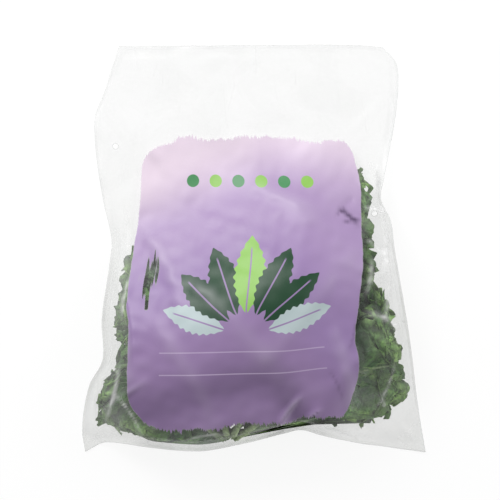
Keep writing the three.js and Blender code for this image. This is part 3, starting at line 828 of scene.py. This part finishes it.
def film_surface(settings):
    """Both walls of the bag over a grid of shares.

    Front and back are the ceiling and underside of the filled space. The front carries folds and two sizes of
    ripples; both walls come together in the welds and share their points round the rim. Where the bag is
    empty the walls lie 1 to 4 mm apart in low waves. Returns points, quads, UVs and point values.
    """
    rng = np.random.default_rng(11)

    def stations(count, crowding):
        even = np.linspace(0, 1, count + 1)
        return even + (0.5 - 0.5 * np.cos(math.pi * even) - even) * crowding

    along, across = np.meshgrid(stations(FILM_ROWS, 0.45), stations(FILM_COLUMNS, 0.6), indexing="ij")
    x, y = plan_point(across, along)
    floor, height = cavity_at(x, y)
    to_edge = np.minimum.reduce([across, 1 - across, along, 1 - along])
    opening = open_share(across, along)
    fullness = np.clip(height / FILL_HEIGHT, 0, 1)
    at_foot = smooth_step(-along, -0.10, -0.03)
    wrinkle = settings.wrinkle / MM

    folds = sum(tall * crease(x, y, start, end, half) for start, end, half, tall in FRONT_FOLDS)
    broad = ripples(rng, x, y, 46, 7)
    fine = ripples(rng, x, y, 17, 9)
    taut = 0.3 + 0.7 * smooth_step(fullness, 0.02, 0.4)
    crest = 1 - 0.62 * smooth_step(fullness, 0.7, 1.0)
    relief = wrinkle * crest * (folds + 0.24 * broad + 0.12 * fine * taut)
    back_relief = wrinkle * (0.5 * ripples(rng, x, y, 40, 6) + 0.25 * ripples(rng, x, y, 14, 8))
    empty = 1 - smooth_step(fullness, 0.0, 0.25)
    waves = 0.9 * (1 + ripples(rng, x, y, 55, 5)) * empty

    ceiling = floor + height + 0.2
    front = ceiling + opening * np.maximum(relief + 0.8, -0.35)
    front += opening * empty * np.maximum(1.2 + 1.1 * ripples(rng, x, y, 60, 6), 0)
    underside = floor - 0.5
    back = underside + opening * (smooth_step(underside, 0.6, 6) * back_relief + np.maximum(waves, 0))
    back = np.maximum(back, 0.05)
    seam = np.maximum(floor + FLAT_GAP / 2 + 0.5 * waves + 0.9 * ripples(rng, x, y, 34, 5), 0.2)
    front = seam * (1 - opening) + np.maximum(front, back + 0.25) * opening
    back = seam * (1 - opening) + back * opening
    rim = to_edge <= 1e-9
    front = np.where(rim, seam, np.maximum(front, back + 0.12))

    rows, columns = x.shape
    front_ids = np.arange(rows * columns).reshape(rows, columns)
    inner = ~rim
    back_ids = front_ids.copy()
    back_ids[inner] = rows * columns + np.arange(inner.sum())
    front_points = np.stack([x, y, front], axis=-1).reshape(-1, 3)
    back_points = np.stack([x, y, back], axis=-1)[inner]
    points = np.concatenate([front_points, back_points])
    front_quads = grid_quads(front_ids)
    back_quads = grid_quads(back_ids)[:, ::-1]
    quads = np.concatenate([front_quads, back_quads])

    left, right = smooth_through(PRINT_LEFT, y), smooth_through(PRINT_RIGHT, y)
    bottom, top = smooth_through(PRINT_BOTTOM, x), smooth_through(PRINT_TOP, x)
    in_panel = np.stack([(x - left) / (right - left), (y - bottom) / (top - bottom)], axis=-1)
    flat = in_panel.reshape(-1, 2)
    front_uv = flat[front_quads]
    back_uv = flat[front_quads[:, ::-1]] + np.array([BACK_SHIFT, 0.0])
    uv = np.concatenate([front_uv, back_uv])

    # Painted highlights along the streaks of GLEAMS, broken up by ripples.
    gleam = np.clip(sum(bright * crease(x, y, start, end, half) for start, end, half, bright in GLEAMS), 0, 1)
    gleam *= 0.75 + 0.35 * ripples(rng, x, y, 9, 7)
    gleam = np.clip(gleam, 0, 1)
    dim = smooth_step(-y, -130, 80)
    # Painted shade along the sharp pinches listed in PINCHES.
    fold_shade = np.clip(sum(deep * crease(x, y, start, end, half) for start, end, half, deep in PINCHES), 0, 1)
    in_ear = np.maximum(1 - ear_fade({**EAR_LEFT, "empty": 4, "full": 50}, x, y),
                        1 - ear_fade({**EAR_RIGHT, "empty": 4, "full": 62}, x, y))
    welded = 1 - smooth_step(to_edge, 0.6 * FILM_WELD, FILM_WELD)
    at_left = smooth_step(-x, 98, 120) * smooth_step(-y, -60, 0) * (1 - 0.45 * smooth_step(-y, 60, 110))
    gathered = np.maximum.reduce([in_ear, 0.5 * welded, 0.2 * at_foot, 0.75 * at_left])
    slack = smooth_step(relief / wrinkle, -0.2, 1.6) * smooth_step(fullness, 0.0, 0.2)
    values = {
        "fold_shade": np.concatenate([fold_shade.ravel(), np.zeros(inner.sum())]),
        "dim": np.concatenate([dim.ravel(), dim[inner]]),
        "slack": np.concatenate([slack.ravel(), np.zeros(inner.sum())]),
        "gathered": np.concatenate([gathered.ravel(), gathered[inner]]),
        "gleam": np.concatenate([gleam.ravel(), np.zeros(inner.sum())]),
    }
    return points, quads, uv, values


class LeafPlace:
    """Where one leaf lies: turns places on the flat leaf into places in the bag.

    A flat place is along the midrib from the root of the fan, out to the right of it, and lift, from -1 to 1
    within the leaf's own share of the height. A shift moves it across the bag afterwards. Directions are kept in the leaf's sector of the fan, distances
    short of the filling's edge, and heights between the walls of the film.
    """

    def __init__(self, rng, root, heading, spread, reach, layer):
        self.root = root
        self.turn = math.radians(heading)
        self.spread = spread
        self.reach = reach
        self.sway = SWAY * rng.uniform(-1, 1)
        self.slab = (1 - 2 * LAYER_MARGIN) / len(LAYERS)
        self.middle = LAYER_MARGIN + self.slab * (layer + 0.5)
        wide = 1 + LOBE_OVERHANG
        share = np.linspace(0, 1, 180)
        self.directions = self.turn - spread[0] * wide + (spread[0] + spread[1]) * wide * share
        uneven = 0.5 * drift(rng, share, 6) + 0.5 * drift(rng, share, 21)
        ends = window_of(window_of(fan_end(root, self.directions), 9).min(axis=1), 9).mean(axis=1)
        self.ends = ends - EDGE_UNEVENNESS * (0.45 + 0.55 * uneven)

    def points(self, along, out, lift, shift=(0.0, 0.0)):
        s = np.clip((along - ROOT_GAP) / self.reach, 0, 1)
        off_axis = np.arctan2(out + self.sway * s * s, along)
        room = np.where(off_axis > 0, self.spread[1], self.spread[0])
        direction = self.turn + soft_limit(off_axis, 0.7 * room, (1 + LOBE_OVERHANG) * room)
        end = np.interp(direction, self.directions, self.ends)
        x, y = fan_point(self.root, direction, soft_limit(np.hypot(along, out), PRESSED_FROM * end, end))
        across, along = share_of(x + shift[0], y + shift[1])
        across, along = np.clip(across, *INSIDE["across"]), np.clip(along, *INSIDE["along"])
        x, y = plan_point(across, along)
        floor, height = cavity_at(x, y)
        swing = np.maximum(self.slab * height * LAYER_USE / 2,
                           np.minimum(FRILL_ROOM["share"] * height, FRILL_ROOM["most"]))
        half_room = np.maximum(height / 2 - FILM_CLEARANCE, 0.3)
        level = soft_limit(self.middle * height + lift * swing - height / 2, 0.75 * half_room, half_room)
        seam = floor + FLAT_GAP / 2
        z = seam + open_share(across, along) * (floor + height / 2 + level - seam)
        return np.stack([x, y, z], axis=-1)


def thickened(points, thickness):
    """Points and quads of a closed sheet of that thickness round a grid of points, along their normals."""
    normal = np.cross(np.gradient(points, axis=1), np.gradient(points, axis=0))
    normal /= np.maximum(np.linalg.norm(normal, axis=-1, keepdims=True), 1e-9)
    offset = normal * np.reshape(thickness, (*np.shape(thickness), 1)) / 2
    return two_faced(points + offset, points - offset)


def lobe_surface(settings, rng, place, base, lean, length, tilt):
    """One lobe of a leaf: a fan round the place where its vein leaves the midrib.

    u goes from that place to the margin and v from flank to flank. The radius at v is length * (0.18 +
    0.82 * sqrt(1 - |v| ** 2.4)). The margin frills in two sizes: the lift is a sum of sines of v that grow with
    u, and at each of their crests and troughs the margin bulges out in a round lappet, |sine| ** 0.7, that
    also spreads to its sides, so that it overlaps the next one. The whole lobe is then crumpled: smooth noise of
    two wave lengths moves its points in all three directions, and more so towards the margin.
    """
    u_line = 1 - (1 - np.linspace(0, 1, LOBE_CELLS["out"] + 1)) ** 1.3
    u, v = np.meshgrid(0.03 + 0.97 * u_line, np.linspace(-1, 1, LOBE_CELLS["round"] + 1), indexing="ij")
    share = 0.5 + 0.5 * v
    turns = math.pi * 2.6 * length
    wander = drift(rng, share, 5)
    phases = rng.uniform(0, 2 * math.pi, 3)
    fold_phase = turns / (settings.fold / MM) * v + phases[0] + wander
    frill_phase = turns / (settings.frill / MM) * v + phases[1] + 2.2 * wander + 0.8 * u
    curl_phase = turns / (settings.curl / MM) * v + phases[2] + 3 * wander + 1.2 * u
    uneven = 0.72 + 0.28 * drift(rng, share, 11)
    fold = u ** 1.8 * np.sin(fold_phase)
    frill = u ** 3 * uneven * np.sin(frill_phase)
    curl = u ** 6 * np.sin(curl_phase)
    buckle = np.sin(math.pi * u) * drift(rng, share, 7)
    ragged = u ** 8 * rng.uniform(-1, 1, (1, v.shape[1]))
    small = np.minimum(length / 34, 1)

    profile = 0.18 + 0.82 * np.sqrt(1 - np.minimum(np.abs(v), 1) ** 2.4)
    radius = u * length * profile * (1 + 0.12 * u * drift(rng, share, 7))
    radius += small * 5.5 * u ** 2 * (np.abs(np.sin(fold_phase)) ** 0.6 - 0.7)
    radius += small * 2.6 * u ** 3 * uneven * (np.abs(np.sin(frill_phase)) ** 0.7 - 0.6)
    radius += small * (0.5 * curl + 0.5 * ragged)
    sideways = -small * (1.6 * u ** 2.5 * np.sin(2 * fold_phase) + 1.0 * u ** 4 * np.sin(2 * frill_phase))
    angle = lean + math.radians(LOBE_OPENING) * v
    along = base[0] + radius * np.cos(angle) - sideways * np.sin(angle)
    out = base[1] + radius * np.sin(angle) + sideways * np.cos(angle)

    def crumple():
        coarse = ripples(rng, along, out, settings.crumple / MM, 6)
        return coarse + 0.36 * ripples(rng, along, out, 0.45 * settings.crumple / MM, 6)

    grow = u ** 1.4
    shift = (3.8 * grow * crumple(), 3.8 * grow * crumple())
    raised = crumple()
    lift = 0.30 * fold + 0.30 * frill + 0.12 * curl + 0.15 * buckle + 0.55 * grow * raised
    lift += tilt[0] * u + tilt[1] * u * v
    points = place.points(np.maximum(along, 4), out, lift, shift)
    thickness = settings.blade / MM * (1.3 - 0.6 * u)
    made, quads = thickened(points, thickness)
    values = {
        # fold: the blade's lift, which the material turns into painted shade low down and painted light on the crests.
        "fold": 0.5 + 0.5 * np.clip(0.25 * fold + 0.4 * frill + 0.2 * curl + 0.75 * grow * raised, -1, 1),
        # margin: lighter towards the frilled edge, and painted lighter still where the crumples rise.
        "margin": np.clip(u, 0, 1) ** 3.2 * (0.5 + 0.5 * np.clip(raised, -1, 1)),
        "rib": np.zeros_like(u),
    }
    return made, quads, np.stack([share, u], axis=-1), values


def stalk_surface(place, reach):
    """The stalk and midrib: a tube of a flattened circle that tapers from its cut end to the leaf's tip."""
    s, turn = np.meshgrid(np.linspace(0, 1, STALK_CELLS["along"] + 1),
                          np.linspace(0, 2 * math.pi, STALK_CELLS["round"], endpoint=False), indexing="ij")
    along = 4 + s * (reach * 0.94 + ROOT_GAP - 4)
    centre = place.points(along, np.zeros_like(along), np.zeros_like(along))
    half = STALK_HALF_WIDTH * (1 - 0.82 * s ** 0.7)
    path = centre[:, :1]
    run = np.gradient(path, axis=0)
    aside = np.cross(run, [0, 0, 1])
    aside /= np.maximum(np.linalg.norm(aside, axis=-1, keepdims=True), 1e-9)
    ring = path + aside * (half * np.cos(turn))[..., None] + np.array([0, 0, 0.8]) * (half * np.sin(turn))[..., None]
    rows, round_count = s.shape
    ids = np.arange(rows * round_count).reshape(rows, round_count)
    ids = np.concatenate([ids, ids[:, :1]], axis=1)
    caps = []
    for row, order in ((0, 1), (rows - 1, -1)):
        around = ids[row, :-1]
        pairs = len(around) // 2 - 1
        caps += [[around[k], around[k + 1], around[-2 - k], around[-1 - k]][::order] for k in range(pairs)]
    quads = np.concatenate([grid_quads(ids), np.array(caps)])
    return ring.reshape(-1, 3), quads, np.stack([0.5 * np.ones_like(s), s], axis=-1)


def leaf_surface(settings, root, heading, spread, reach, width, layer, seed):
    """One curly leaf: its stalk, pairs of frilled lobes up the midrib and one more at its tip.

    A lobe's length follows the blade's half width, width * sin(pi q ** 0.86) ** 0.42, with q the share of the
    way up the blade, and it leans from 64 degrees off the midrib at the stalk to 36 degrees near the tip.
    """
    rng = np.random.default_rng(settings.seed * 1000 + seed)
    place = LeafPlace(rng, root, heading, spread, reach, layer)
    parts = []
    points, quads, uv = stalk_surface(place, reach)
    everywhere = np.ones(len(points))
    parts.append((points, quads, uv.reshape(-1, 2),
                  {"fold": everywhere, "margin": 0 * everywhere, "rib": everywhere}))

    pairs = max(3, round(reach * (1 - STALK_SHARE) / LOBE_SPACING))
    for k in range(pairs):
        for side in (-1, 1):
            q = (k + 0.45 + 0.28 * side * (1 if seed % 2 else -1) + rng.uniform(-0.12, 0.12)) / pairs
            q = np.clip(q, 0.03, 0.97)
            base = ROOT_GAP + reach * (STALK_SHARE + (1 - STALK_SHARE) * q * 0.93)
            length = width * math.sin(math.pi * min(q + 0.06, 0.97) ** 0.86) ** 0.42 * rng.uniform(0.84, 1.08)
            length = max(length, 15)
            lean = side * math.radians(64 - 28 * q + rng.uniform(-7, 7))
            tilt = (0.25 * rng.uniform(-1, 1), 0.42 * side)
            parts.append(flat_part(lobe_surface(settings, rng, place, (base, 0.0), lean, length, tilt)))
    tip = lobe_surface(settings, rng, place, (ROOT_GAP + reach * 0.86, 0.0), 0.0, 0.14 * reach + 10, (0.1, 0.0))
    parts.append(flat_part(tip))

    offsets = np.cumsum([0] + [len(part[0]) for part in parts[:-1]])
    points = np.concatenate([part[0] for part in parts])
    quads = np.concatenate([part[1] + offset for part, offset in zip(parts, offsets)])
    uv = np.concatenate([part[2] for part in parts])
    values = {key: np.concatenate([part[3][key] for part in parts]) for key in ("fold", "margin", "rib")}
    values["tone"] = np.full(len(points), rng.uniform(0, 1))
    across, up = share_of(points[:, 0], points[:, 1])
    # inner: 0 at the bag's sides and bottom, 1 inside, where the leaves get painted shade.
    values["inner"] = smooth_step(np.minimum(across, 1 - across), 0.05, 0.16) * smooth_step(up, 0.04, 0.15)
    return points, quads, uv[quads], values


def flat_part(lobe):
    """A lobe's points, quads, UVs and values, with both its faces alike."""
    points, quads, uv, values = lobe
    flat = uv.reshape(-1, 2)
    return points, quads, np.concatenate([flat, flat]), {key: np.tile(value.ravel(), 2)
                                                          for key, value in values.items()}


class KALE_OT_film(bpy.types.Operator):
    """Build the printed film bag"""

    bl_idname = "kale.film"
    bl_label = "Film bag"

    def execute(self, context):
        settings = context.scene.kale_film
        points, quads, uv, values = film_surface(settings)
        bag = mesh_object("clear_film_bag", points, quads, uv, values)
        bag.data.materials.append(film_material(settings))
        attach(bag, "root")
        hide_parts("bag_film")
        return {"FINISHED"}


class KALE_OT_leaves(bpy.types.Operator):
    """Build the curly leaves in their layers"""

    bl_idname = "kale.leaves"
    bl_label = "Kale leaves"

    def execute(self, context):
        settings = context.scene.kale_leaves
        material = leaf_material(settings, leaf_vein_group())
        seed = 0
        for layer, fan in enumerate(LAYERS):
            headings = fan["headings"]
            between = [(a + b) / 2 for a, b in zip(headings, headings[1:])]
            borders = [FAN_EDGES[0], *between, FAN_EDGES[1]]
            for k, heading in enumerate(headings):
                seed += 1
                spread = [math.radians(abs(at - heading)) for at in borders[k:k + 2]]
                points, quads, uv, values = leaf_surface(
                    settings, fan["root"], heading, spread, fan["reach"][k], fan["width"], layer, seed)
                leaf = mesh_object(f"curly_leaf_{seed:02d}", points, quads, uv, values)
                leaf.data.materials.append(material)
                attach(leaf, "root")
                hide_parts(f"kale_leaf_{seed:02d}")
        return {"FINISHED"}


class KALE_OT_stage(bpy.types.Operator):
    """Set up the floor, the lights and the camera"""

    bl_idname = "kale.stage"
    bl_label = "Stage"

    def execute(self, context):
        scene = context.scene
        settings = scene.kale_stage
        corners = np.array([(-2000, -2000, 0), (2000, -2000, 0), (2000, 2000, 0), (-2000, 2000, 0)], float)
        floor = mesh_object("studio_floor", corners, np.array([[0, 1, 2, 3]]))
        floor.data.materials.append(floor_material(settings))

        world = bpy.data.worlds.new("studio")
        world.use_nodes = True
        sky = world.node_tree.nodes["Background"]
        sky.inputs["Color"].default_value = (1, 1, 1, 1)
        sky.inputs["Strength"].default_value = settings.sky
        scene.world = world

        lights = (
            ("key_light", settings.key, 0.7, (-0.70, 1.05, 0.95)),
            ("rim_light", settings.back, 0.35, (0.85, 0.35, 0.7)),
        )
        for name, power, size, place in lights:
            light = bpy.data.lights.new(name, "AREA")
            light.energy = power
            light.size = size
            lamp = bpy.data.objects.new(name, light)
            lamp.location = place
            aim = -lamp.location
            lamp.rotation_euler = aim.to_track_quat("-Z", "Y").to_euler()
            scene.collection.objects.link(lamp)

        lens = bpy.data.cameras.new("camera")
        lens.lens = LENS
        lens.sensor_width = SENSOR
        camera = bpy.data.objects.new("camera", lens)
        distance = VIEW_WIDTH * LENS / SENSOR
        camera.location = (*VIEW_CENTRE, VIEW_LEVEL + distance)
        scene.collection.objects.link(camera)
        scene.camera = camera
        scene.view_settings.view_transform = "Standard"
        return {"FINISHED"}


class KALE_PT_panel(bpy.types.Panel):
    bl_idname = "KALE_PT_panel"
    bl_label = "Bagged kale"
    bl_space_type = "VIEW_3D"
    bl_region_type = "UI"
    bl_category = "Kale"

    def draw(self, context):
        scene = context.scene
        for settings, operator in ((scene.kale_stage, KALE_OT_stage), (scene.kale_film, KALE_OT_film),
                                   (scene.kale_leaves, KALE_OT_leaves)):
            box = self.layout.box()
            for key in settings.__annotations__:
                box.prop(settings, key)
            box.operator(operator.bl_idname)


CLASSES = (KaleFilmSettings, KaleLeafSettings, KaleStageSettings, KALE_OT_stage, KALE_OT_film,
           KALE_OT_leaves, KALE_PT_panel)


def register():
    for made in CLASSES:
        bpy.utils.register_class(made)
    bpy.types.Scene.kale_film = PointerProperty(type=KaleFilmSettings)
    bpy.types.Scene.kale_leaves = PointerProperty(type=KaleLeafSettings)
    bpy.types.Scene.kale_stage = PointerProperty(type=KaleStageSettings)


def unregister():
    del bpy.types.Scene.kale_stage
    del bpy.types.Scene.kale_leaves
    del bpy.types.Scene.kale_film
    for made in reversed(CLASSES):
        bpy.utils.unregister_class(made)


def main():
    register()
    bpy.ops.kale.stage()
    bpy.ops.kale.film()
    bpy.ops.kale.leaves()


if __name__ == "__main__":
    main()
